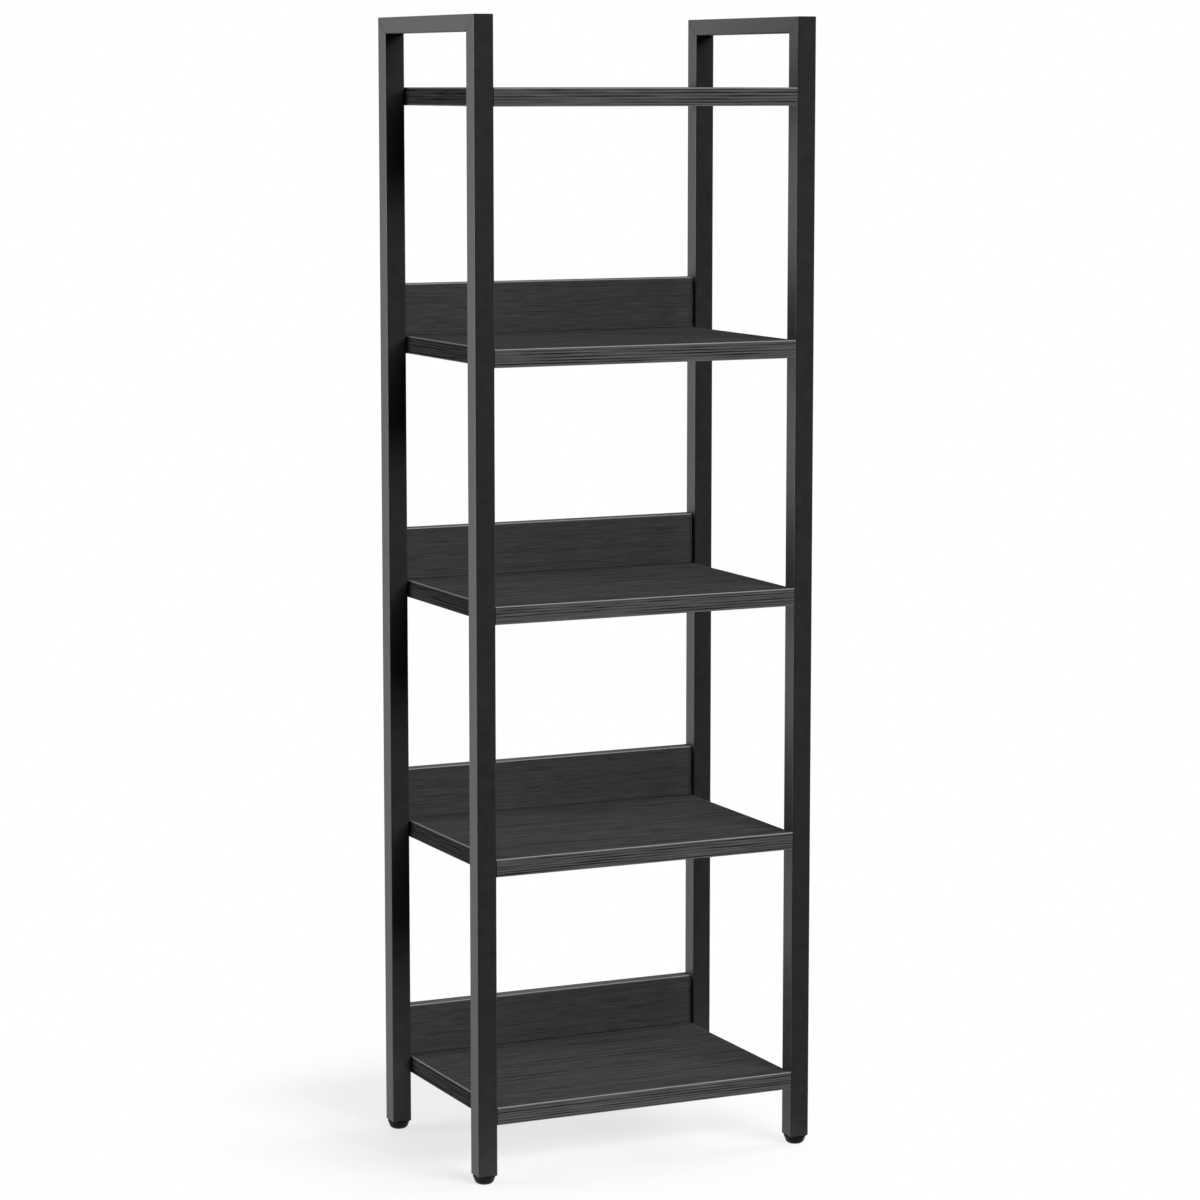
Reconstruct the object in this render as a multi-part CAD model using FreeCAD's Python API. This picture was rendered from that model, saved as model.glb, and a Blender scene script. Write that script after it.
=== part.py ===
import FreeCAD, Part
import math
import os

from FreeCAD import Vector

# Side frames: legs of square steel tube, open at the foot, and a flatter rail, mitred and welded on top
frame_width = 450.0
frame_depth = 300.0
frame_upstand = 85.0
tube_side = 25.0
rail_height = 20.0
tube_wall = 1.2
tube_corner_radius = 2.0
mitre_seam_width = 0.5
mitre_seam_depth = 0.3
ground_corner_radius = 1.0

# Shelves: faced board with edge bands all round, ends butted on the legs
shelf_names = ["bottom", "lower", "middle", "upper", "top"]
shelf_thickness = 22.0
shelf_pitch = 305.0
lowest_shelf_height = 73.0
edge_band_thickness = 2.0
edge_band_radius = 1.8

# Low back boards: they stand on the rear of every shelf but the top one
back_board_height = 64.0
back_board_thickness = 18.0
back_board_foot_bevel = 0.8

# Cam fittings: a rivet nut in the leg, a bolt into the shelf's end, a cam lock from the shelf's underside
bolt_height = 9.5
bolt_thread_diameter = 6.0
bolt_thread_length = 10.0
bolt_shank_diameter = 7.0
bolt_neck_diameter = 4.2
bolt_head_diameter = 6.6
bolt_head_length = 2.8
cam_setback = 24.0
cam_diameter = 15.0
cam_chamber_diameter = 10.0
cam_chamber_height = 7.4
cam_cap_thickness = 1.4
cam_drive_length = 7.0
cam_drive_width = 1.6
cam_drive_depth = 2.4
rivet_nut_diameter = 9.0
rivet_nut_length = 12.0
rivet_nut_flange_diameter = 12.0
rivet_nut_flange_thickness = 1.0
rivet_nut_bulge = 1.1
rivet_nut_bulge_length = 2.4

# Back board fixings: dowels and countersunk screws, both upright in the board's middle plane
dowel_diameter = 8.0
dowel_length = 30.0
dowel_depth_in_shelf = 12.0
dowel_from_cam = 36.0
screw_diameter = 4.0
screw_length = 45.0
screw_head_diameter = 8.0
screw_from_dowel = 70.0

# Levelling feet: a plastic pad on a threaded stud, held by a nut in a ribbed plastic insert in the leg
foot_height = 11.0
pad_diameter = 28.0
pad_sole_diameter = 15.0
pad_sole_thickness = 2.5
pad_rim_height = 1.6
pad_rim_round = 0.5
pad_rim_overhang = 0.5
pad_ring_height = 3.4
pad_ring_taper = 0.8
pad_ring_overhang = 0.5
stud_diameter = 8.0
stud_shank_length = 35.0
stud_collar_width = 13.0
stud_collar_height = 4.0
stud_head_lip = 1.0
stud_head_height = 2.4
nut_width = 13.0
nut_height = 6.5
insert_length = 29.0
insert_rib_count = 4
insert_rib_height = 2.0
insert_rib_depth = 1.4
insert_base_height = 5.0

# Fits
running_fit = 0.05
bore_clearance = 0.15
seat_gap = 0.3
end_gap = 0.1
cut_margin = 5.0

# What follows from the sizes above
shelf_span = frame_width - 2 * tube_side
half_span = shelf_span / 2
half_depth = frame_depth / 2
leg_x = frame_width / 2 - tube_side / 2
leg_y = half_depth - tube_side / 2
shelf_heights = [lowest_shelf_height + level * shelf_pitch for level in range(len(shelf_names))]
frame_top = shelf_heights[-1] + shelf_thickness + frame_upstand
leg_bottom = foot_height
tube_inside = tube_side - 2 * tube_wall
tube_inside_radius = max(tube_corner_radius - tube_wall, running_fit)
back_board_y = half_depth - back_board_thickness / 2
cam_x = half_span - cam_setback
dowel_x = cam_x - dowel_from_cam
screw_x = dowel_x - screw_from_dowel

X = Vector(1, 0, 0)
Y = Vector(0, 1, 0)
Z = Vector(0, 0, 1)
ORIGIN = Vector(0, 0, 0)


def export(name, *solids):
    """Writes one node: a single solid, or a group of separate ones."""
    shape = solids[0] if len(solids) == 1 else Part.makeCompound(list(solids))
    shape.exportStep("parts/" + name + ".step")


def moved(shape, x=0.0, y=0.0, z=0.0):
    """A copy of the shape, shifted."""
    copy = shape.copy()
    copy.translate(Vector(x, y, z))
    return copy


def prism(points, direction):
    """A solid whose flat outline is the closed polygon through the points."""
    return Part.Face(Part.makePolygon(points + points[:1])).extrude(direction)


def revolved(points, axis):
    """A solid turned about an axis through the origin from a closed half-section."""
    return Part.Face(Part.makePolygon(points + points[:1])).revolve(ORIGIN, axis, 360)


def rounded_bar(width, depth, radius, height):
    """An upright bar with rounded corners, centred on the Z axis, standing on z = 0."""
    bar = Part.makeBox(width, depth, height, Vector(-width / 2, -depth / 2, 0))
    upright = [edge for edge in bar.Edges if abs(edge.tangentAt(0).z) > 0.5]
    return bar.makeFillet(radius, upright)


def rounded_square(side, radius, height):
    """An upright square bar with rounded corners, centred on the Z axis, standing on z = 0."""
    return rounded_bar(side, side, radius, height)


def hexagon(width, height):
    """An upright hexagonal bar of that width across its flats, standing on z = 0."""
    corner = width / math.sqrt(3)
    angles = [math.radians(60 * k) for k in range(6)]
    return prism([Vector(corner * math.cos(a), corner * math.sin(a), 0) for a in angles], Z * height)


def frame_tube(depth, length):
    """An upright tube as wide as the legs, of that depth, centred on the Z axis, standing on z = 0."""
    outside = rounded_bar(tube_side, depth, tube_corner_radius, length)
    inside_depth = depth - 2 * tube_wall
    inside = rounded_bar(tube_inside, inside_depth, tube_inside_radius, length + 2 * cut_margin)
    return outside.cut(moved(inside, z=-cut_margin))


def seam_core(depth, length):
    """The bar inside such a tube that the seam groove doesn't reach."""
    width = tube_side - 2 * mitre_seam_depth
    return rounded_bar(width, depth - 2 * mitre_seam_depth, tube_corner_radius - mitre_seam_depth, length)


# The mitre at a front top corner, seen along X: from the outer corner down to the inner one
mitre_corner = Vector(-frame_width / 2 - cut_margin, -half_depth, frame_top)
mitre_line = Vector(0, tube_side, -rail_height)
mitre_overrun = Vector(mitre_line).normalize() * cut_margin
mitre_high = mitre_corner - mitre_overrun
mitre_low = mitre_corner + mitre_line + mitre_overrun
mitre_across = X * (tube_side + 2 * cut_margin)
seam_shift = Vector(0, rail_height, tube_side).normalize() * (mitre_seam_width / 2)


def seam_groove(core):
    """The shallow line left round the mitre where the weld is ground back."""
    upper_line = [mitre_high - seam_shift, mitre_high + seam_shift]
    lower_line = [mitre_low + seam_shift, mitre_low - seam_shift]
    return prism(upper_line + lower_line, mitre_across).cut(core)


def ground_corner():
    """What the grinder takes off the sharp outer corner of a mitre."""
    r = ground_corner_radius
    corner = Vector(-frame_width / 2 - cut_margin, -half_depth, frame_top - r)
    block = Part.makeBox(mitre_across.x, r, r, corner)
    return block.cut(Part.makeCylinder(r, mitre_across.x, corner + Y * r, X))


def left_front_leg():
    """A leg: square at the foot, mitred at the top, with a hole for each rivet nut in its inner wall."""
    length = frame_top - leg_bottom
    leg = moved(frame_tube(tube_side, length), -leg_x, -leg_y, leg_bottom)
    beyond = prism([mitre_high, mitre_low, Vector(mitre_low.x, mitre_low.y, mitre_high.z)], mitre_across)
    core = moved(seam_core(tube_side, length), -leg_x, -leg_y, leg_bottom)
    leg = leg.cut(beyond).cut(seam_groove(core))
    leg = leg.cut(ground_corner())
    for height in shelf_heights:
        start = Vector(-half_span - tube_side / 2, -leg_y, height + bolt_height)
        leg = leg.cut(Part.makeCylinder(rivet_nut_diameter / 2, tube_side, start, X))
    return leg


def left_top_rail():
    """A top rail, mitred at both ends."""
    lying = frame_tube(rail_height, frame_depth)
    core = seam_core(rail_height, frame_depth)
    for bar in (lying, core):
        bar.rotate(ORIGIN, X, -90)
        bar.translate(Vector(-leg_x, -half_depth, frame_top - rail_height / 2))
    below = prism([mitre_high, mitre_low, Vector(mitre_low.x, mitre_high.y, mitre_low.z)], mitre_across)
    for cutter in (below, seam_groove(core), ground_corner()):
        lying = lying.cut(cutter).cut(cutter.mirror(ORIGIN, Y))
    return lying


def banding(length, height):
    """One strip of edge band along X: inner face on y = 0, the two outer long edges rounded."""
    r = min(edge_band_radius, edge_band_thickness - running_fit)
    t = edge_band_thickness
    bend = r * math.sqrt(0.5)
    low_arc = Part.Arc(Vector(0, t - r, 0), Vector(0, t - r + bend, r - bend), Vector(0, t, r))
    high_arc = Part.Arc(
        Vector(0, t, height - r), Vector(0, t - r + bend, height - r + bend), Vector(0, t - r, height)
    )
    sides = [
        Part.LineSegment(Vector(0, 0, 0), Vector(0, t - r, 0)),
        low_arc,
        Part.LineSegment(Vector(0, t, r), Vector(0, t, height - r)),
        high_arc,
        Part.LineSegment(Vector(0, t - r, height), Vector(0, 0, height)),
        Part.LineSegment(Vector(0, 0, height), Vector(0, 0, 0)),
    ]
    return Part.Face(Part.Wire([side.toShape() for side in sides])).extrude(X * length)


def at_shelf_end(shape, side, row):
    """Sets what was made at the leg's inner face, pointing along +X, at one end of a shelf on z = 0."""
    placed = shape.copy()
    if side > 0:
        placed.rotate(ORIGIN, Z, 180)
    placed.translate(Vector(side * half_span, row * leg_y, 0))
    return placed


shelf_ends = [(side, row) for side in (-1, 1) for row in (-1, 1)]

# Along a cam bolt, from the leg's inner face into the shelf
cam_radius = cam_diameter / 2 - running_fit
chamber_radius = cam_chamber_diameter / 2
neck_start = cam_setback - cam_radius - seat_gap
head_start = cam_setback - math.sqrt(chamber_radius**2 - (bolt_head_diameter / 2) ** 2) + end_gap
cam_height = bolt_height + cam_chamber_height / 2 + cam_cap_thickness
bolt_line = Vector(0, 0, bolt_height)


def rivet_nut():
    """A set rivet nut: a thin flange on the leg's face, a bulge behind its wall and a threaded barrel."""
    bore = bolt_thread_diameter / 2
    barrel = rivet_nut_diameter / 2 - running_fit
    flange = rivet_nut_flange_diameter / 2
    bulge_end = -tube_wall - rivet_nut_bulge_length
    outline = [
        (-rivet_nut_length, bore),
        (-rivet_nut_length, barrel),
        (bulge_end, barrel),
        (bulge_end + rivet_nut_bulge, barrel + rivet_nut_bulge),
        (-tube_wall, barrel + rivet_nut_bulge),
        (-tube_wall, barrel),
        (0, barrel),
        (0, flange),
        (rivet_nut_flange_thickness, flange),
        (rivet_nut_flange_thickness, bore),
    ]
    return moved(revolved([Vector(x, 0, r) for x, r in outline], X), z=bolt_height)


def cam_bolt():
    """A cam bolt: thread in the rivet nut, shank in the shelf's end, neck and head that the cam draws in."""
    thread = bolt_thread_diameter / 2 - running_fit
    shank = bolt_shank_diameter / 2
    neck = bolt_neck_diameter / 2
    head = bolt_head_diameter / 2
    shoulder = rivet_nut_flange_thickness
    outline = [
        (-bolt_thread_length, 0),
        (-bolt_thread_length, thread),
        (shoulder, thread),
        (shoulder, shank),
        (neck_start, shank),
        (neck_start, neck),
        (head_start, neck),
        (head_start, head),
        (head_start + bolt_head_length, head),
        (head_start + bolt_head_length, 0),
    ]
    return moved(revolved([Vector(x, 0, r) for x, r in outline], X), z=bolt_height)


def cam_lock():
    """A cam lock: a drum with a chamber, a slot for the bolt's neck, an entry hole and a cross drive."""
    axis = Vector(cam_setback, 0, 0)
    drum = Part.makeCylinder(cam_radius, cam_height, axis)
    chamber_floor = axis + Z * (bolt_height - cam_chamber_height / 2)
    chamber = Part.makeCylinder(chamber_radius, cam_chamber_height, chamber_floor)
    slot_height = bolt_neck_diameter + 2 * bore_clearance
    slot_corner = axis + Vector(-cam_diameter, -cam_diameter, bolt_height - slot_height / 2)
    slot = Part.makeBox(cam_diameter, 2 * cam_diameter, slot_height, slot_corner)
    entry = Part.makeCylinder(bolt_head_diameter / 2 + bore_clearance, cam_diameter, axis + bolt_line, X)
    drum = drum.cut(chamber).cut(slot).cut(entry)
    for length, width in ((cam_drive_length, cam_drive_width), (cam_drive_width, cam_drive_length)):
        bar_corner = axis - Vector(length / 2, width / 2, 0)
        drum = drum.cut(Part.makeBox(length, width, cam_drive_depth, bar_corner))
    return drum


def end_bore():
    """The bore in a shelf's end: a pocket for the rivet nut's flange, then the hole for the bolt."""
    pocket_radius = rivet_nut_flange_diameter / 2 + bore_clearance
    pocket = Part.makeCylinder(pocket_radius, rivet_nut_flange_thickness + end_gap, bolt_line, X)
    shank_radius = bolt_shank_diameter / 2 + bore_clearance
    return pocket.fuse(Part.makeCylinder(shank_radius, cam_setback, bolt_line, X))


def cam_bore():
    """The round bore for a cam lock in a shelf's underside."""
    return Part.makeCylinder(cam_diameter / 2, cam_height + end_gap, Vector(cam_setback, 0, 0))


def dowel_hole():
    """The hole for a dowel in the shelf's top and the back board's foot, from the shelf's underside up."""
    low = shelf_thickness - dowel_depth_in_shelf
    return Part.makeCylinder(dowel_diameter / 2, dowel_length + end_gap, Vector(0, 0, low))


def dowel():
    """A dowel with chamfered ends."""
    r = dowel_diameter / 2 - running_fit
    low = shelf_thickness - dowel_depth_in_shelf
    high = low + dowel_length
    bevel = dowel_diameter / 8
    lower_half = [(0, low), (r - bevel, low), (r, low + bevel)]
    upper_half = [(r, high - bevel), (r - bevel, high), (0, high)]
    outline = lower_half + upper_half
    return revolved([Vector(x, 0, z) for x, z in outline], Z)


def screw_outline(fit):
    """Half the section of a countersunk screw, driven up from the shelf's underside, larger by the fit."""
    shank = screw_diameter / 2 + fit
    head = screw_head_diameter / 2 + fit
    tip = screw_diameter
    return [
        Vector(0, 0, 0),
        Vector(head, 0, 0),
        Vector(shank, 0, head - shank),
        Vector(shank, 0, screw_length - tip + fit),
        Vector(0, 0, screw_length + 2 * fit),
    ]


def pair(shape, reach):
    """Two copies of a shape in a back board's middle plane, one each side of the shelf's middle."""
    return [moved(shape, side * reach, back_board_y) for side in (-1, 1)]


def fixing_holes():
    """The dowel and screw holes that a shelf and its back board share."""
    return pair(dowel_hole(), dowel_x) + pair(revolved(screw_outline(running_fit), Z), screw_x)


def shelf(has_back_board):
    """A shelf's board and its four edge bands, with their bores, standing on z = 0."""
    t = edge_band_thickness
    core_length = shelf_span - 2 * t
    core_depth = frame_depth - 2 * t
    corner = Vector(-core_length / 2, -core_depth / 2, 0)
    core = Part.makeBox(core_length, core_depth, shelf_thickness, corner)
    long_band = moved(banding(shelf_span, shelf_thickness), -half_span, core_depth / 2)
    end_band = moved(banding(core_depth, shelf_thickness), -core_depth / 2, core_length / 2)
    bands = []
    for band, angles in ((long_band, (0, 180)), (end_band, (90, 270))):
        for angle in angles:
            strip = band.copy()
            strip.rotate(ORIGIN, Z, angle)
            bands.append(strip)
    end_bores = Part.makeCompound([at_shelf_end(end_bore(), *end) for end in shelf_ends])
    core = core.cut(end_bores).cut([at_shelf_end(cam_bore(), *end) for end in shelf_ends])
    bands = [band.cut(end_bores) for band in bands]
    if has_back_board:
        core = core.cut(fixing_holes())
    return core, bands


def back_board():
    """A back board and its bands on the top and the two ends, measured from the underside of its shelf."""
    t = edge_band_thickness
    core_length = shelf_span - 2 * t
    core_height = back_board_height - t
    corner = Vector(-core_length / 2, half_depth - back_board_thickness, shelf_thickness)
    core = Part.makeBox(core_length, back_board_thickness, core_height, corner)
    foot_edges = [edge for edge in core.Edges if edge.CenterOfMass.z < shelf_thickness + cut_margin]
    long_edges = [edge for edge in foot_edges if abs(edge.tangentAt(0).x) > 0.5]
    core = core.makeChamfer(back_board_foot_bevel, long_edges).cut(fixing_holes())
    top_band = banding(shelf_span, back_board_thickness)
    top_band.rotate(ORIGIN, X, 90)
    top_band.translate(Vector(-half_span, half_depth, shelf_thickness + core_height))
    end_band = banding(core_height, back_board_thickness)
    end_band.rotate(ORIGIN, X, 90)
    end_band.rotate(ORIGIN, Y, -90)
    left_band = moved(end_band, -core_length / 2, half_depth, shelf_thickness)
    return core, [top_band, left_band, left_band.mirror(ORIGIN, X)]


# Heights in a foot, from the floor up
pad_top = foot_height - seat_gap
socket_floor = pad_sole_thickness
socket_roof = socket_floor + stud_head_height + 2 * end_gap
collar_top = foot_height + stud_collar_height
nut_floor = leg_bottom + insert_length - nut_height


def foot_pad():
    """A foot pad: a bowl with a flat sole, a ring and a rim, and a socket for the stud's head."""
    sole = pad_sole_diameter / 2
    rim = pad_diameter / 2
    rim_low = pad_top - pad_rim_height
    ring_top = rim - pad_rim_overhang
    ring_foot = ring_top - pad_ring_taper
    ring_low = rim_low - pad_ring_height
    bowl = ring_foot - pad_ring_overhang
    mouth = stud_diameter / 2 + running_fit
    socket = stud_diameter / 2 + stud_head_lip + running_fit
    belly = Vector(sole + (bowl - sole) * 0.7, 0, ring_low * 0.35)
    corners = [
        Vector(bowl, 0, ring_low),
        Vector(ring_foot, 0, ring_low),
        Vector(ring_top, 0, rim_low),
        Vector(rim, 0, rim_low),
        Vector(rim, 0, pad_top - pad_rim_round),
        Vector(rim - pad_rim_round, 0, pad_top),
        Vector(mouth, 0, pad_top),
        Vector(mouth, 0, socket_roof),
        Vector(socket, 0, socket_roof),
        Vector(socket, 0, socket_floor),
        Vector(0, 0, socket_floor),
        Vector(0, 0, 0),
        Vector(sole, 0, 0),
    ]
    curve = Part.Arc(Vector(sole, 0, 0), belly, Vector(bowl, 0, ring_low)).toShape()
    outline = Part.Wire([curve] + Part.makePolygon(corners).Edges)
    return Part.Face(outline).revolve(ORIGIN, Z, 360)


def foot_stud():
    """A foot stud: a round head in the pad's socket, a hexagonal collar and a threaded shank."""
    shank = stud_diameter / 2 - running_fit
    head = stud_diameter / 2 + stud_head_lip - running_fit
    top = collar_top + stud_shank_length
    bevel = stud_diameter / 8
    outline = [
        (0, socket_floor + end_gap),
        (head, socket_floor + end_gap),
        (head, socket_floor + end_gap + stud_head_height),
        (shank, socket_floor + end_gap + stud_head_height),
        (shank, top - bevel),
        (shank - bevel, top),
        (0, top),
    ]
    turned = revolved([Vector(r, 0, z) for r, z in outline], Z)
    collar = moved(hexagon(stud_collar_width, stud_collar_height), z=foot_height)
    return turned.fuse(collar).removeSplitter()


def foot_nut():
    """The nut that the stud is screwed into."""
    return moved(hexagon(nut_width, nut_height), z=nut_floor).cut(
        Part.makeCylinder(stud_diameter / 2, nut_height, Vector(0, 0, nut_floor))
    )


def leg_insert():
    """A ribbed plug in the leg's open end, recessed for the stud's collar and pocketed for the nut."""
    full = tube_inside - 2 * running_fit
    core = rounded_square(full - 2 * insert_rib_depth, tube_inside_radius, insert_length)
    plug = core.fuse(rounded_square(full, tube_inside_radius, insert_base_height))
    rib_pitch = (insert_length - insert_base_height) / insert_rib_count
    for rib in range(insert_rib_count):
        top = insert_base_height + (rib + 1) * rib_pitch
        plate = rounded_square(full, tube_inside_radius, insert_rib_height)
        plug = plug.fuse(moved(plate, z=top - insert_rib_height))
    plug = moved(plug.removeSplitter(), z=leg_bottom)
    collar_room = stud_collar_width / math.sqrt(3) + seat_gap
    recess = Part.makeCylinder(collar_room, stud_collar_height + seat_gap, Vector(0, 0, leg_bottom))
    shaft_way = Part.makeCylinder(stud_diameter / 2 + seat_gap, insert_length, Vector(0, 0, leg_bottom))
    pocket = moved(hexagon(nut_width + 2 * running_fit, nut_height), z=nut_floor)
    return plug.cut(recess).cut(shaft_way).cut(pocket)


os.makedirs("parts", exist_ok=True)

# Side frames
front_leg = left_front_leg()
rear_leg = front_leg.mirror(ORIGIN, Y)
rail = left_top_rail()
for node, shape in (("front_leg", front_leg), ("rear_leg", rear_leg), ("top_rail", rail)):
    export("left_" + node, shape)
    export("right_" + node, shape.mirror(ORIGIN, X))

# Shelves with their bands, back boards and fittings
rivet_nuts = []
cam_bolts = []
cam_locks = []
dowels = []
screws = []
for name, height in zip(shelf_names, shelf_heights):
    has_back_board = name != shelf_names[-1]
    board, bands = shelf(has_back_board)
    export(name + "_shelf", moved(board, z=height))
    export(name + "_shelf_edge_bands", *[moved(band, z=height) for band in bands])
    for end in shelf_ends:
        rivet_nuts.append(moved(at_shelf_end(rivet_nut(), *end), z=height))
        cam_bolts.append(moved(at_shelf_end(cam_bolt(), *end), z=height))
        cam_locks.append(moved(at_shelf_end(cam_lock(), *end), z=height))
    if has_back_board:
        board, bands = back_board()
        export(name + "_back_board", moved(board, z=height))
        export(name + "_back_board_edge_bands", *[moved(band, z=height) for band in bands])
        dowels += [moved(shape, z=height) for shape in pair(dowel(), dowel_x)]
        screws += [moved(shape, z=height) for shape in pair(revolved(screw_outline(0.0), Z), screw_x)]
export("rivet_nuts", *rivet_nuts)
export("cam_bolts", *cam_bolts)
export("cam_locks", *cam_locks)
export("back_board_dowels", *dowels)
export("back_board_screws", *screws)

# Feet
foot_nuts = []
for side_name, side in (("left", -1), ("right", 1)):
    for row_name, row in (("front", -1), ("rear", 1)):
        place = (side * leg_x, row * leg_y)
        corner_name = side_name + "_" + row_name
        export(corner_name + "_leg_insert", moved(leg_insert(), *place))
        export(corner_name + "_foot_stud", moved(foot_stud(), *place))
        export(corner_name + "_foot_pad", moved(foot_pad(), *place))
        foot_nuts.append(moved(foot_nut(), *place))
export("foot_nuts", *foot_nuts)
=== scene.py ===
import math

import bmesh
import bpy
from mathutils import Matrix, Vector


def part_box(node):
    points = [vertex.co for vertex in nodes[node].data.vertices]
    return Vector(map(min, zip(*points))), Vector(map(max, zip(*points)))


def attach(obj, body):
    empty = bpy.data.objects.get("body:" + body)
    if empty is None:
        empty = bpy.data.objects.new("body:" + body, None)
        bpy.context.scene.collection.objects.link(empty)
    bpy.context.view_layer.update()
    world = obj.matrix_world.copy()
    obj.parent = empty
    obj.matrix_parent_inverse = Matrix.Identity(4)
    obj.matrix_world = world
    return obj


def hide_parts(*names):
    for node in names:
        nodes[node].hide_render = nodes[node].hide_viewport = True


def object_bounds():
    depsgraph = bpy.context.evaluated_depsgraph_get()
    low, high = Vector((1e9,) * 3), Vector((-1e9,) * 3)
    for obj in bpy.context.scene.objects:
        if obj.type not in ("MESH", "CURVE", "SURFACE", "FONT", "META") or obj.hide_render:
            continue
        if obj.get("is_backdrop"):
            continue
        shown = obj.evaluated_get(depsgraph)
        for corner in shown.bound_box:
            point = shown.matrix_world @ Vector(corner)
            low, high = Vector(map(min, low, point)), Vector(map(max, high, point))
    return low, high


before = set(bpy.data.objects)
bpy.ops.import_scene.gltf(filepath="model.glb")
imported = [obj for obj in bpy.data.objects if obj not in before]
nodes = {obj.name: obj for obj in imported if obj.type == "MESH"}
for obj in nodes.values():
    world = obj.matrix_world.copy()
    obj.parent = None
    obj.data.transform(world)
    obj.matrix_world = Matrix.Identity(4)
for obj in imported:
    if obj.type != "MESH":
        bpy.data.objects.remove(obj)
cad_low, cad_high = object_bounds()


# Side frames. Each is two legs of square steel tube and a flatter top rail, mitred at the top corners,
# welded, ground flush and sprayed with a satin black powder coat. The baked coat is a little uneven,
# like fine orange peel.
coat_thin = (0.0172, 0.0172, 0.0175, 1)
coat_thick = (0.0214, 0.0214, 0.0217, 1)
coat_smooth, coat_rough = 0.42, 0.48
coat_gloss_index = 1.42
coat_flow_size = 0.012
coat_peel_size = 0.0011
coat_peel_share = 0.25
coat_peel_height = 0.00002


def add(tree, kind, inputs, **settings):
    """Adds a node, sets its properties, and sets or links its inputs."""
    node = tree.nodes.new(kind)
    for name, value in settings.items():
        setattr(node, name, value)
    for name, value in inputs.items():
        if isinstance(value, bpy.types.NodeSocket):
            tree.links.new(value, node.inputs[name])
        else:
            node.inputs[name].default_value = value
    return node


def new_finish(name, **constants):
    """A material with one shader, whose constants sit on its own sockets, and the piece's coordinates."""
    material = bpy.data.materials.new(name)
    material.use_nodes = True
    tree = material.node_tree
    shader = tree.nodes["Principled BSDF"]
    for socket, value in constants.items():
        shader.inputs[socket.replace("_", " ")].default_value = value
    place = add(tree, "ShaderNodeTexCoord", {}).outputs["Object"]
    return material, tree, shader, place


def speckle(tree, place, size, detail=2.0):
    """Even noise whose cells are about that size, in metres."""
    noise = add(tree, "ShaderNodeTexNoise", {"Vector": place, "Scale": 1 / size, "Detail": detail})
    return noise.outputs["Fac"]


def blend_tones(tree, share, first, second):
    """The first colour where the share is 0, the second where it is 1."""
    return add(tree, "ShaderNodeMix", {"Factor": share, 6: first, 7: second}, data_type="RGBA").outputs[2]


def spread(tree, amount, low, high):
    """The amount, which stays around a half, spread over a range."""
    usual_low, usual_high = 0.3, 0.7
    reach = {"Value": amount, "From Min": usual_low, "From Max": usual_high, "To Min": low, "To Max": high}
    return add(tree, "ShaderNodeMapRange", reach).outputs["Result"]


def raise_surface(tree, shader, height, share, distance):
    """Lets a share of the height show as relief, up to that distance in metres."""
    bump = add(tree, "ShaderNodeBump", {"Height": height, "Strength": share, "Distance": distance})
    tree.links.new(bump.outputs["Normal"], shader.inputs["Normal"])


def dress(finish, *names):
    """Gives the finish to nodes that keep their own shape."""
    for name in names:
        nodes[name].data.materials.clear()
        nodes[name].data.materials.append(finish)


powder_coat, tree, shader, place = new_finish("satin_black_powder_coat", IOR=coat_gloss_index)
flow = speckle(tree, place, coat_flow_size)
coat_tone = blend_tones(tree, spread(tree, flow, 0.0, 1.0), coat_thin, coat_thick)
tree.links.new(coat_tone, shader.inputs["Base Color"])
tree.links.new(spread(tree, flow, coat_smooth, coat_rough), shader.inputs["Roughness"])
raise_surface(tree, shader, speckle(tree, place, coat_peel_size), coat_peel_share, coat_peel_height)
tubes = [side + piece for side in ("left", "right") for piece in ("_front_leg", "_rear_leg", "_top_rail")]
dress(powder_coat, *tubes)


# Shelves. Each is a board of pressed wood faced on both sides with black wood-grain melamine, the grain
# along the shelf. It is butted between the legs and drawn up to them by cam fittings in its underside.
shelf_names = ["bottom", "lower", "middle", "upper", "top"]
facing_dark = (0.017, 0.017, 0.0173, 1)
facing_light = (0.0726, 0.0726, 0.0732, 1)
fine_line_wander = 2.6
broad_line_wander = 4.2
line_core, line_edge = 0.08, 0.30
sway_length, sway_width = 0.90, 0.030
fade_length, fade_width = 0.16, 0.005
faded_out, faded_in = 0.30, 0.62
streak_roughness = 0.6
bare_ground = 0.70
grain_rough, grain_smooth = 0.98, 0.88
pore_depth = 0.7
grain_height = 0.0002


def streaks(tree, place, length, width, detail):
    """Noise drawn out along X into streaks of about that length and width, in metres."""
    drawn = add(tree, "ShaderNodeMapping", {"Vector": place, "Scale": (1 / length, 1 / width, 1 / width)})
    drawn = drawn.outputs["Vector"]
    noise = {"Vector": drawn, "Scale": 1.0, "Detail": detail, "Roughness": streak_roughness}
    return add(tree, "ShaderNodeTexNoise", noise).outputs["Fac"]


def math_node(tree, operation, first, second):
    """One sum of two values or sockets."""
    return add(tree, "ShaderNodeMath", {0: first, 1: second}, operation=operation).outputs["Value"]


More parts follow.
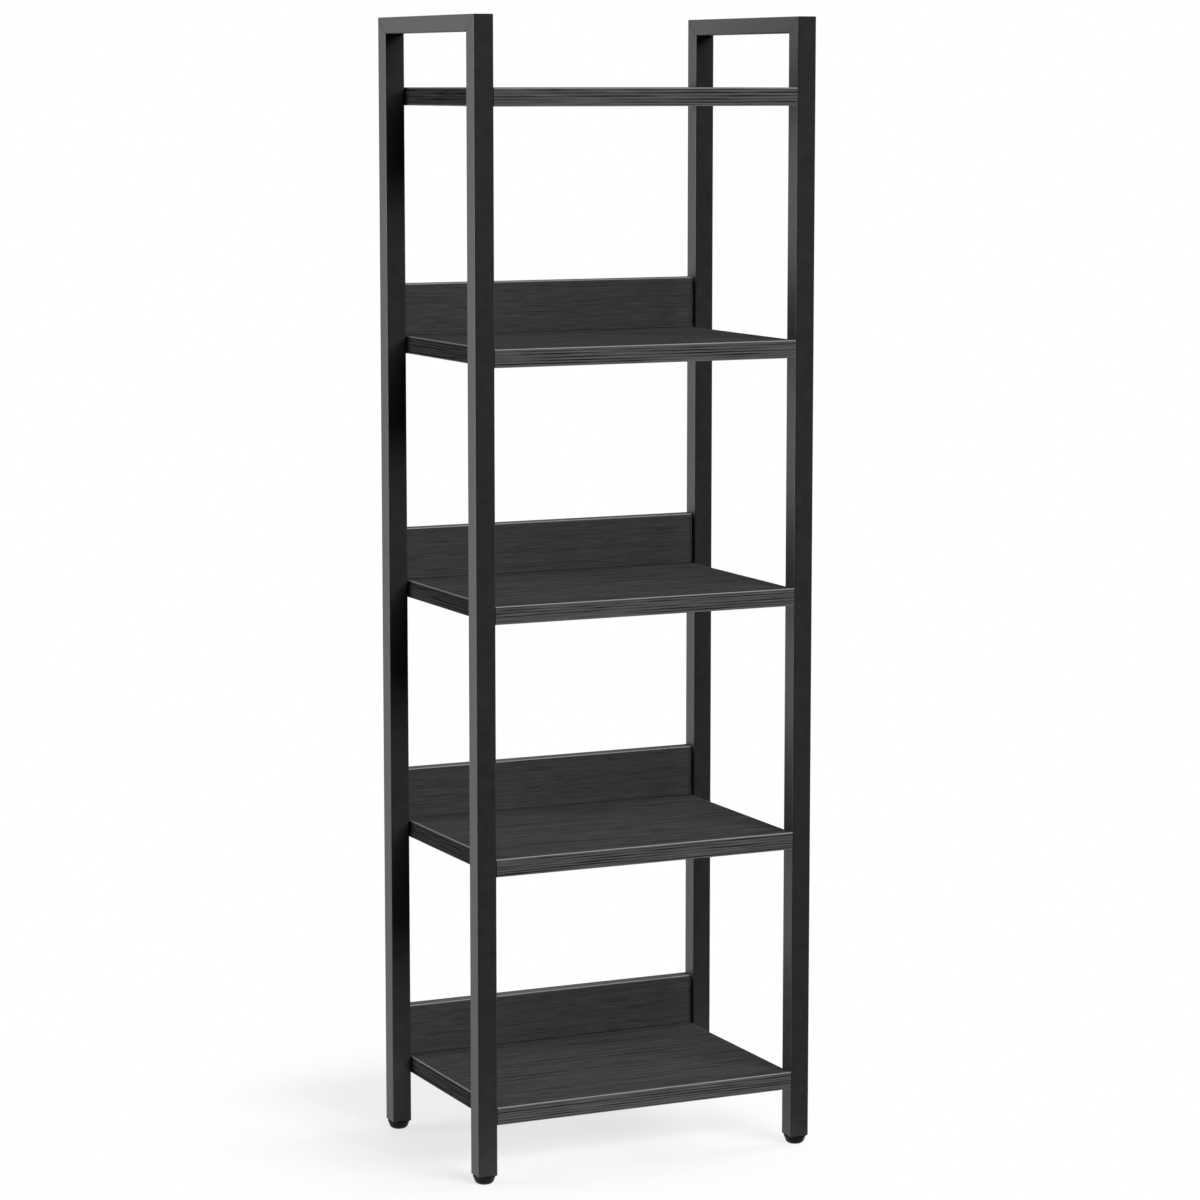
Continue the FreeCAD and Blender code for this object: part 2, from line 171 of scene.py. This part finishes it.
def grain_lines(tree, place, spacing, wander):
    """Dark lines along X, about that far apart, that sway and fade: 1 on a line and 0 off it."""
    at = add(tree, "ShaderNodeSeparateXYZ", {"Vector": place}).outputs
    across = math_node(tree, "DIVIDE", math_node(tree, "ADD", at["Y"], at["Z"]), spacing)
    sway = streaks(tree, place, sway_length, sway_width, detail=2.0)
    sway = math_node(tree, "MULTIPLY", sway, wander)
    near = math_node(tree, "PINGPONG", math_node(tree, "ADD", across, sway), 0.5)
    line = {"Value": near, "From Min": line_core, "From Max": line_edge, "To Min": 1.0, "To Max": 0.0}
    line = add(tree, "ShaderNodeMapRange", line).outputs["Result"]
    fade = streaks(tree, place, fade_length, fade_width, detail=1.0)
    fade = {"Value": fade, "From Min": faded_out, "From Max": faded_in}
    fade = add(tree, "ShaderNodeMapRange", fade).outputs["Result"]
    return math_node(tree, "MULTIPLY", line, fade)


def black_grain(
    tree, shader, place, tones, fibre_size, fibre_share, fine_spacing, fine_share,
    broad_spacing, broad_share, relief
):
    """Printed, embossed wood grain along X: fine and broad dark lines, and fibres of a length and width."""
    fine = grain_lines(tree, place, fine_spacing, fine_line_wander)
    fine = math_node(tree, "MULTIPLY", fine, fine_share)
    pores = grain_lines(tree, place, broad_spacing, broad_line_wander)
    broad = math_node(tree, "MULTIPLY", pores, broad_share)
    fibres = streaks(tree, place, *fibre_size, detail=1.0)
    fibres = math_node(tree, "MULTIPLY", fibres, fibre_share)
    ground = math_node(tree, "ADD", fibres, bare_ground - fibre_share / 2)
    grain = math_node(tree, "SUBTRACT", ground, math_node(tree, "ADD", fine, broad))
    tree.links.new(blend_tones(tree, grain, *tones), shader.inputs["Base Color"])
    tree.links.new(spread(tree, grain, grain_rough, grain_smooth), shader.inputs["Roughness"])
    sunk = math_node(tree, "SUBTRACT", grain, math_node(tree, "MULTIPLY", pores, pore_depth))
    raise_surface(tree, shader, sunk, relief, grain_height)


facing, tree, shader, place = new_finish("black_grain_facing", Specular_IOR_Level=0.01)
black_grain(
    tree, shader, place, (facing_dark, facing_light), fibre_size=(0.035, 0.0045), fibre_share=0.8,
    fine_spacing=0.0028, fine_share=0.33, broad_spacing=0.0145, broad_share=0.31, relief=0.90
)
dress(facing, *[name + "_shelf" for name in shelf_names])


# Edge bands. Strips of the same black decor are glued round every shelf and their long edges are rounded
# over, so a fine light line runs along them. The rounding is also coloured paler, partly as on a scraped
# radius and partly as a painted highlight, and the upward faces are lightened as a painted highlight. The
# end faces get darker tones as painted shade. Each strip has its grain along its own length.
band_dark = (0.006, 0.006, 0.0062, 1)
band_light = (0.0951, 0.0951, 0.0961, 1)
# Darker tones for the end faces of the same decor: painted shade on faces that point along X.
shaded_end_dark = (0.001, 0.001, 0.0011, 1)
shaded_end_light = (0.0496, 0.0496, 0.0501, 1)
# Pale colour for the rounded arrises, partly a scraped radius and partly a painted highlight. The share
# below lightens upward faces as a painted highlight.
scraped_and_highlight = (0.23, 0.23, 0.232, 1)
painted_top_highlight_share = 0.30
flat_edge, round_edge = 0.98, 0.85
faces_the_end = 0.7

edge_band, tree, shader, place = new_finish("black_grain_edge_band", Specular_IOR_Level=0.02)
outward = add(tree, "ShaderNodeTexCoord", {}).outputs["Normal"]
outward = add(tree, "ShaderNodeVectorMath", {0: outward}, operation="ABSOLUTE").outputs["Vector"]
outward = add(tree, "ShaderNodeSeparateXYZ", {"Vector": outward}).outputs
on_end = math_node(tree, "GREATER_THAN", outward["X"], faces_the_end)
quarter_turn = (0, 0, math.radians(90))
turned = add(tree, "ShaderNodeMapping", {"Vector": place, "Rotation": quarter_turn}).outputs["Vector"]
along = add(tree, "ShaderNodeMix", {"Factor": on_end, 4: place, 5: turned}, data_type="VECTOR").outputs[1]
# Where a face points along X the darker tones are swapped in, as painted shade.
dark = blend_tones(tree, on_end, band_dark, shaded_end_dark)
light = blend_tones(tree, on_end, band_light, shaded_end_light)
black_grain(
    tree, shader, along, (dark, light), fibre_size=(0.050, 0.0015), fibre_share=1.0,
    fine_spacing=0.0034, fine_share=0.70, broad_spacing=0.0110, broad_share=0.05, relief=0.35
)
# The rounded arrises, found by their slanted normals, take the pale colour: partly scraped radius, partly
# painted highlight.
flatness = math_node(tree, "MAXIMUM", outward["Y"], outward["Z"])
flatness = math_node(tree, "MAXIMUM", outward["X"], flatness)
scraped_and_highlit_edge = {"Value": flatness, "From Min": round_edge, "From Max": flat_edge, "To Min": 1.0, "To Max": 0.0}
scraped_and_highlit_edge = add(tree, "ShaderNodeMapRange", scraped_and_highlit_edge).outputs["Result"]
# Upward faces are mixed toward the pale colour, a painted highlight where light falls from above.
painted_top_highlight = math_node(tree, "MULTIPLY", outward["Z"], painted_top_highlight_share)
scraped_and_highlit_edge = math_node(tree, "MAXIMUM", scraped_and_highlit_edge, painted_top_highlight)
grained = shader.inputs["Base Color"].links[0].from_socket
tree.links.new(blend_tones(tree, scraped_and_highlit_edge, grained, scraped_and_highlight), shader.inputs["Base Color"])
dress(edge_band, *[name + "_shelf_edge_bands" for name in shelf_names])


# Back boards. A low board of the same facing stands on the rear of every shelf but the top one, banded on
# its top and ends, and held from below by dowels and screws. Its light tone is darker than the shelves', as
# painted shade on boards that stand back in the bays.
back_dark = (0.017, 0.017, 0.0173, 1)
# A darker light tone than the shelf facing's: painted shade.
shaded_back_light = (0.0455, 0.0455, 0.0460, 1)

backed_shelves = shelf_names[:-1]
back_facing, tree, shader, place = new_finish("black_grain_back_board", Specular_IOR_Level=0.05)
black_grain(
    tree, shader, place, (back_dark, shaded_back_light), fibre_size=(0.035, 0.0020), fibre_share=1.2,
    fine_spacing=0.0028, fine_share=0.37, broad_spacing=0.0110, broad_share=0.09, relief=0.90
)
dress(back_facing, *[name + "_back_board" for name in backed_shelves])
dress(edge_band, *[name + "_back_board_edge_bands" for name in backed_shelves])


# Dowels. Two beech pegs under every back board, part in the shelf and part in the board's foot, keep it in
# line. Each is turned, fluted along its length for the glue, and chamfered at both ends.
dowel_length = 0.030
dowel_depth_in_shelf = 0.012
dowel_bevel = 0.001
dowel_corners = 48
flute_every = 3
flute_share = 0.92
beech_pale = (0.66, 0.47, 0.29, 1)
beech_fleck = (0.50, 0.32, 0.18, 1)
beech_rough, beech_smooth = 0.75, 0.60
fleck_length, fleck_width = 0.008, 0.0007
fleck_relief = 0.3
fleck_height = 0.0001


def draw_up(shape, rim, rise, share):
    """Draws a rim up by the rise and scales it about the Z axis, and gives the new rim."""
    drawn = bmesh.ops.extrude_edge_only(shape, edges=rim)["geom"]
    corners = [part for part in drawn if isinstance(part, bmesh.types.BMVert)]
    bmesh.ops.translate(shape, verts=corners, vec=(0, 0, rise))
    bmesh.ops.scale(shape, verts=corners, vec=(share, share, 1))
    return [part for part in drawn if isinstance(part, bmesh.types.BMEdge)]


def write_in_order(shape, mesh):
    """Writes the shape into the mesh with sorted corners and faces, so every run gives the same mesh."""
    digits = 7
    corners = sorted(shape.verts, key=lambda corner: [round(part, digits) for part in corner.co])
    number = {corner: count for count, corner in enumerate(corners)}
    faces = []
    for face in shape.faces:
        ring = [number[corner] for corner in face.verts]
        start = ring.index(min(ring))
        faces.append(ring[start:] + ring[:start])
    mesh.from_pydata([corner.co for corner in corners], [], sorted(faces))


def new_piece(name, shape, places, finish, body, replaced):
    """Sets a copy of the shape at each place, as one piece that stands for a CAD node."""
    bmesh.ops.recalc_face_normals(shape, faces=shape.faces)
    single = bpy.data.meshes.new(name + "_single")
    write_in_order(shape, single)
    shape.free()
    copies = bmesh.new()
    for place in places:
        before = len(copies.verts)
        copies.from_mesh(single)
        copies.verts.ensure_lookup_table()
        bmesh.ops.translate(copies, verts=copies.verts[before:], vec=place)
    for face in copies.faces:
        face.smooth = True
    mesh = bpy.data.meshes.new(name)
    copies.to_mesh(mesh)
    copies.free()
    bpy.data.meshes.remove(single)
    crease_angle = math.radians(35)
    mesh.set_sharp_from_angle(angle=crease_angle)
    mesh.materials.append(finish)
    piece = bpy.data.objects.new(name, mesh)
    bpy.context.scene.collection.objects.link(piece)
    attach(piece, body)
    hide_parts(replaced)


beech, tree, shader, place = new_finish("fluted_beech", Specular_IOR_Level=0.3)
stood_up = (0, math.radians(90), 0)
upright = add(tree, "ShaderNodeMapping", {"Vector": place, "Rotation": stood_up}).outputs["Vector"]
fleck = streaks(tree, upright, fleck_length, fleck_width, detail=2.0)
fleck = spread(tree, fleck, 0.0, 1.0)
tree.links.new(blend_tones(tree, fleck, beech_fleck, beech_pale), shader.inputs["Base Color"])
tree.links.new(spread(tree, fleck, beech_rough, beech_smooth), shader.inputs["Roughness"])
raise_surface(tree, shader, fleck, fleck_relief, fleck_height)

low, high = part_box("back_board_dowels")
board_plane = (low.y + high.y) / 2
dowel_radius = (high.y - low.y) / 2
dowel_x = high.x - dowel_radius
dowel = bmesh.new()
bmesh.ops.create_circle(dowel, segments=dowel_corners, radius=dowel_radius)
flutes = [corner for number, corner in enumerate(dowel.verts) if number % flute_every == 0]
bmesh.ops.scale(dowel, verts=flutes, vec=(flute_share, flute_share, 1))
end_share = 1 - dowel_bevel / dowel_radius
bmesh.ops.scale(dowel, verts=dowel.verts, vec=(end_share, end_share, 1))
rim = draw_up(dowel, dowel.edges[:], dowel_bevel, 1 / end_share)
rim = draw_up(dowel, rim, dowel_length - 2 * dowel_bevel, 1.0)
draw_up(dowel, rim, dowel_bevel, end_share)
bmesh.ops.holes_fill(dowel, edges=dowel.edges, sides=dowel_corners)
dowel_feet = [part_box(name + "_shelf")[1].z - dowel_depth_in_shelf for name in backed_shelves]
dowel_places = [(side * dowel_x, board_plane, foot) for foot in dowel_feet for side in (-1, 1)]
new_piece("beech_dowels", dowel, dowel_places, beech, "case", "back_board_dowels")


# Back board screws. Zinc-plated countersunk chipboard screws, driven up through the shelf with a cross
# driver until their heads lie flush with its underside, pull the back board down.
screw_radius = 0.0020
screw_core = 0.0014
screw_length = 0.045
screw_point = 0.004
screw_pitch = 0.0018
screw_plain_length = 0.018
recess_length = 0.0048
recess_width = 0.0011
recess_depth = 0.0020
recess_taper = 0.55
screw_corners = 24
zinc_bright = (0.60, 0.61, 0.63, 1)
zinc_dull = (0.44, 0.45, 0.47, 1)
plating_patch = 0.004
plating_tooth = plating_patch / 10
plating_tooth_share = 0.2
plating_tooth_height = 0.00002
thread_steps_per_turn = 16
thread_half_width = 0.45
thread_root = 0.97
merge_distance = 1e-7
flush = 1e-6


def wind_thread(shape, core, crest, low, high, pitch):
    """Winds a closed V-shaped ridge round a shank on the Z axis."""
    steps = round((high - low) / pitch * thread_steps_per_turn)
    half = thread_half_width * pitch
    root = core * thread_root
    section = [(root, 0, low - half), (crest, 0, low), (root, 0, low + half)]
    ridge = shape.faces.new([shape.verts.new(corner) for corner in section])
    rise = (0, 0, pitch / thread_steps_per_turn)
    turn = 2 * math.pi * steps / thread_steps_per_turn
    wound = ridge.verts[:] + ridge.edges[:] + [ridge]
    bmesh.ops.spin(shape, geom=wound, axis=(0, 0, 1), cent=(0, 0, 0), dvec=rise, angle=turn, steps=steps)


def zinc_plate(name, bright, dull, smooth, rough):
    """A metal finish with duller patches and a fine tooth."""
    finish, tree, shader, place = new_finish(name, Metallic=1.0)
    patch = speckle(tree, place, plating_patch, detail=4.0)
    tone = blend_tones(tree, spread(tree, patch, 0.0, 1.0), bright, dull)
    tree.links.new(tone, shader.inputs["Base Color"])
    tree.links.new(spread(tree, patch, smooth, rough), shader.inputs["Roughness"])
    tooth = speckle(tree, place, plating_tooth)
    raise_surface(tree, shader, tooth, plating_tooth_share, plating_tooth_height)
    return finish


plated_steel = zinc_plate("zinc_plated_steel", zinc_bright, zinc_dull, smooth=0.24, rough=0.40)
low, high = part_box("back_board_screws")
head_radius = (high.y - low.y) / 2
screw_x = high.x - head_radius
screw = bmesh.new()
bmesh.ops.create_circle(screw, cap_ends=True, segments=screw_corners, radius=head_radius)
rim = draw_up(screw, screw.edges[:], head_radius - screw_radius, screw_radius / head_radius)
rim = draw_up(screw, rim, screw_plain_length - head_radius + screw_radius, 1.0)
rim = draw_up(screw, rim, 0.0, screw_core / screw_radius)
rim = draw_up(screw, rim, screw_length - screw_plain_length - screw_point, 1.0)
draw_up(screw, rim, screw_point, 0.0)
bmesh.ops.remove_doubles(screw, verts=screw.verts, dist=merge_distance)
for line in (recess_width / 2, recess_length / 2):
    for across in ((1, 0, 0), (-1, 0, 0), (0, 1, 0), (0, -1, 0)):
        flat = [face for face in screw.faces if all(corner.co.z < flush for corner in face.verts)]
        sheet = list({part for face in flat for part in (*face.verts, *face.edges)}) + flat
        bmesh.ops.bisect_plane(screw, geom=sheet, plane_co=Vector(across) * line, plane_no=across)
cross = []
for face in screw.faces:
    centre = face.calc_center_median()
    reach = sorted((abs(centre.x), abs(centre.y)))
    if centre.z < flush and reach[0] < recess_width / 2 and reach[1] < recess_length / 2:
        cross.append(face)
sunk = bmesh.ops.extrude_face_region(screw, geom=cross)["geom"]
bottom = [part for part in sunk if isinstance(part, bmesh.types.BMVert)]
bmesh.ops.translate(screw, verts=bottom, vec=(0, 0, recess_depth))
bmesh.ops.scale(screw, verts=bottom, vec=(recess_taper, recess_taper, 1))
thread_end = screw_length - screw_point
wind_thread(screw, screw_core, screw_radius, screw_plain_length, thread_end, screw_pitch)
screw_heads = [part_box(name + "_shelf")[0].z for name in backed_shelves]
screw_places = [(side * screw_x, board_plane, head) for head in screw_heads for side in (-1, 1)]
new_piece(
    "countersunk_screws", screw, screw_places, plated_steel, "case", "back_board_screws"
)


# Cam fittings. A rivet nut set in the leg's inner wall takes a plated bolt, whose head a die-cast zinc lock
# in the shelf's underside draws in when its cross slot is turned. Nothing shows on the frame's outside.
cast_bright = (0.47, 0.47, 0.48, 1)
cast_dull = (0.33, 0.33, 0.34, 1)

dress(plated_steel, "rivet_nuts", "cam_bolts")
die_cast = zinc_plate("die_cast_zinc", cast_bright, cast_dull, smooth=0.42, rough=0.60)
dress(die_cast, "cam_locks")


# Feet. A ribbed plastic insert is driven into each leg's open end and holds a nut. A plated stud with a
# hexagon for the spanner turns in it, and its round head is snapped into a glossy moulded pad.
collar_width = 0.013
collar_height = 0.004
collar_bevel = 0.0004
stud_radius = 0.00395
stud_core = 0.0032
stud_head_radius = 0.00495
stud_head_height = 0.0024
stud_pitch = 0.00125
stud_bevel = 0.001
stud_corners = 32
insert_black = (0.016, 0.016, 0.0162, 1)
insert_grey = (0.026, 0.026, 0.0263, 1)
pad_black = (0.003, 0.003, 0.0031, 1)
pad_grey = (0.006, 0.006, 0.0061, 1)
mould_patch = 0.003
mould_tooth = mould_patch / 8
mould_tooth_height = 0.00003


def moulded(name, dark, light, smooth, rough, tooth, gloss):
    """Moulded plastic, a little uneven in colour and gloss, with a fine tooth from the mould."""
    finish, tree, shader, place = new_finish(name, Specular_IOR_Level=gloss)
    patch = speckle(tree, place, mould_patch, detail=3.0)
    tone = blend_tones(tree, spread(tree, patch, 0.0, 1.0), dark, light)
    tree.links.new(tone, shader.inputs["Base Color"])
    tree.links.new(spread(tree, patch, smooth, rough), shader.inputs["Roughness"])
    raise_surface(tree, shader, speckle(tree, place, mould_tooth), tooth, mould_tooth_height)
    return finish


insert_plastic = moulded(
    "matt_insert_plastic", insert_black, insert_grey, smooth=0.48, rough=0.62, tooth=0.5, gloss=0.4
)
pad_plastic = moulded(
    "glossy_pad_plastic", pad_black, pad_grey, smooth=0.16, rough=0.24, tooth=0.1, gloss=0.15
)
dress(plated_steel, "foot_nuts")
for side in ("left", "right"):
    for row in ("front", "rear"):
        corner = side + "_" + row
        dress(insert_plastic, corner + "_leg_insert")
        dress(pad_plastic, corner + "_foot_pad")
        low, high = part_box(corner + "_foot_stud")
        collar_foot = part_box(corner + "_leg")[0].z - low.z
        collar_top = collar_foot + collar_height
        length = high.z - low.z
        stud = bmesh.new()
        collar_middle = Matrix.Translation((0, 0, (collar_foot + collar_top) / 2))
        flats_to_sides = Matrix.Rotation(math.radians(30), 4, "Z")
        corner_radius = collar_width / math.sqrt(3)
        bmesh.ops.create_cone(
            stud, cap_ends=True, segments=6, radius1=corner_radius, radius2=corner_radius,
            depth=collar_height, matrix=collar_middle @ flats_to_sides
        )
        bmesh.ops.bevel(
            stud, geom=stud.edges[:], offset=collar_bevel, segments=2, profile=0.5, affect="EDGES",
            material=-1
        )
        head = bmesh.ops.create_circle(stud, cap_ends=True, segments=stud_corners, radius=stud_head_radius)
        head = head["verts"]
        rim = list({edge for vertex in head for edge in vertex.link_edges})
        rim = draw_up(stud, rim, stud_head_height, 1.0)
        rim = draw_up(stud, rim, 0.0, stud_radius / stud_head_radius)
        rim = draw_up(stud, rim, collar_foot - stud_head_height, 1.0)
        rim = draw_up(stud, rim, collar_height, stud_core / stud_radius)
        rim = draw_up(stud, rim, length - collar_top - stud_bevel, 1.0)
        rim = draw_up(stud, rim, stud_bevel, (stud_core - stud_bevel / 2) / stud_core)
        bmesh.ops.holes_fill(stud, edges=rim, sides=stud_corners)
        wind_thread(stud, stud_core, stud_radius, collar_top, length - stud_bevel, stud_pitch)
        axis = ((low.x + high.x) / 2, (low.y + high.y) / 2, low.z)
        new_piece(
            corner + "_threaded_stud", stud, [axis], plated_steel, corner + "_stud",
            corner + "_foot_stud"
        )


# Studio. A pale floor that fades into a white sweep, a wide soft lamp to the front right with a smaller one
# high in front, weaker ones to the right, the left and behind, and a dim room behind the camera.
floor_radius = 0.62
floor_corners = 96
fade_centre = (-0.05, 0.10, 0.0)
fade_start, fade_end = 0.26, 0.50
floor_colour = (0.90, 0.90, 0.90, 1)
floor_lift = 0.72
room_light = 0.055
room_gloss = 0.035
sweep_start, sweep_end = -0.25, 0.25
camera_sensor = 36
camera_lens = 114.714
camera_place = (-1.9900, -4.2683, 1.3205)
camera_tilt = 7.703
camera_heading = 25.067

floor_mesh = bpy.data.meshes.new("floor")
shape = bmesh.new()
bmesh.ops.create_circle(shape, cap_ends=True, segments=floor_corners, radius=floor_radius)
shape.to_mesh(floor_mesh)
shape.free()
floor = bpy.data.objects.new("floor", floor_mesh)
bpy.context.scene.collection.objects.link(floor)
floor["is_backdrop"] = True
paper, tree, shader, place = new_finish(
    "white_paper", Base_Color=floor_colour, Roughness=0.9, Specular_IOR_Level=0.1
)
reach = add(tree, "ShaderNodeVectorMath", {0: place, 1: fade_centre}, operation="DISTANCE").outputs["Value"]
fade = {"Value": reach, "From Min": fade_start, "From Max": fade_end, "To Min": 1.0, "To Max": 0.0}
fade = add(tree, "ShaderNodeMapRange", fade, interpolation_type="SMOOTHSTEP").outputs["Result"]
below = add(tree, "ShaderNodeNewGeometry", {}).outputs["Backfacing"]
fade = math_node(tree, "MULTIPLY", fade, math_node(tree, "SUBTRACT", 1.0, below))
path = add(tree, "ShaderNodeLightPath", {}).outputs
seen = math_node(tree, "MAXIMUM", path["Is Camera Ray"], path["Is Glossy Ray"])
seen = math_node(tree, "MAXIMUM", seen, path["Is Transmission Ray"])
white = add(tree, "ShaderNodeEmission", {"Color": (1, 1, 1, 1), "Strength": 1.0}).outputs["Emission"]
lift = math_node(tree, "MULTIPLY", seen, floor_lift)
lit = add(tree, "ShaderNodeMixShader", {0: lift, 1: shader.outputs["BSDF"], 2: white}).outputs["Shader"]
clear = add(tree, "ShaderNodeBsdfTransparent", {}).outputs["BSDF"]
faded = add(tree, "ShaderNodeMixShader", {0: fade, 1: clear, 2: lit}).outputs["Shader"]
tree.links.new(faded, tree.nodes["Material Output"].inputs["Surface"])
floor_mesh.materials.append(paper)

world = bpy.data.worlds.new("studio")
world.use_nodes = True
bpy.context.scene.world = world
tree = world.node_tree
path = add(tree, "ShaderNodeLightPath", {}).outputs
way = add(tree, "ShaderNodeTexCoord", {}).outputs["Generated"]
behind = add(tree, "ShaderNodeSeparateXYZ", {"Vector": way}).outputs["Y"]
sweep = {
    "Value": behind, "From Min": sweep_start, "From Max": sweep_end, "To Min": room_gloss, "To Max": 1.0
}
sweep = add(tree, "ShaderNodeMapRange", sweep, interpolation_type="SMOOTHSTEP").outputs["Result"]
seen = math_node(tree, "MAXIMUM", path["Is Camera Ray"], path["Is Transmission Ray"])
seen = math_node(tree, "MAXIMUM", seen, math_node(tree, "MULTIPLY", path["Is Glossy Ray"], sweep))
level = math_node(tree, "MAXIMUM", seen, math_node(tree, "MULTIPLY", path["Is Diffuse Ray"], room_light))
background = tree.nodes["Background"]
background.inputs["Color"].default_value = (1, 1, 1, 1)
tree.links.new(level, background.inputs["Strength"])


def soft_lamp(name, position, aim, width, height, power, mirrored=False):
    """A rectangular soft box turned to its aim, and mirrored in gloss or not."""
    lamp = bpy.data.lights.new(name, "AREA")
    lamp.shape = "RECTANGLE"
    lamp.size, lamp.size_y = width, height
    lamp.energy = power
    box = bpy.data.objects.new(name, lamp)
    box.location = position
    box.rotation_euler = (Vector(aim) - Vector(position)).to_track_quat("-Z", "Y").to_euler()
    box.visible_glossy = mirrored
    bpy.context.scene.collection.objects.link(box)


middle = (cad_low + cad_high) / 2
soft_lamp("key", (3.9, -7.5, 4.3), middle, width=5.1, height=1.8, power=780)
soft_lamp("front", (0.6, -6.8, 4.9), middle, width=2.4, height=1.4, power=280)
soft_lamp("side", (5.0, 0.4, 3.2), middle, width=2.0, height=2.0, power=160)
soft_lamp("fill", (-4.2, 1.7, 0.9), middle, width=2.4, height=2.4, power=180, mirrored=True)
soft_lamp("rear", (1.2, 4.8, 0.9), middle, width=2.4, height=2.4, power=120)

camera_data = bpy.data.cameras.new("camera")
camera_data.sensor_width = camera_sensor
camera_data.lens = camera_lens
camera = bpy.data.objects.new("camera", camera_data)
camera.location = camera_place
camera.rotation_euler = (math.radians(90 - camera_tilt), 0, math.radians(-camera_heading))
bpy.context.scene.collection.objects.link(camera)
bpy.context.scene.camera = camera
bpy.context.scene.view_settings.view_transform = "Standard"

low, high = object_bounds()
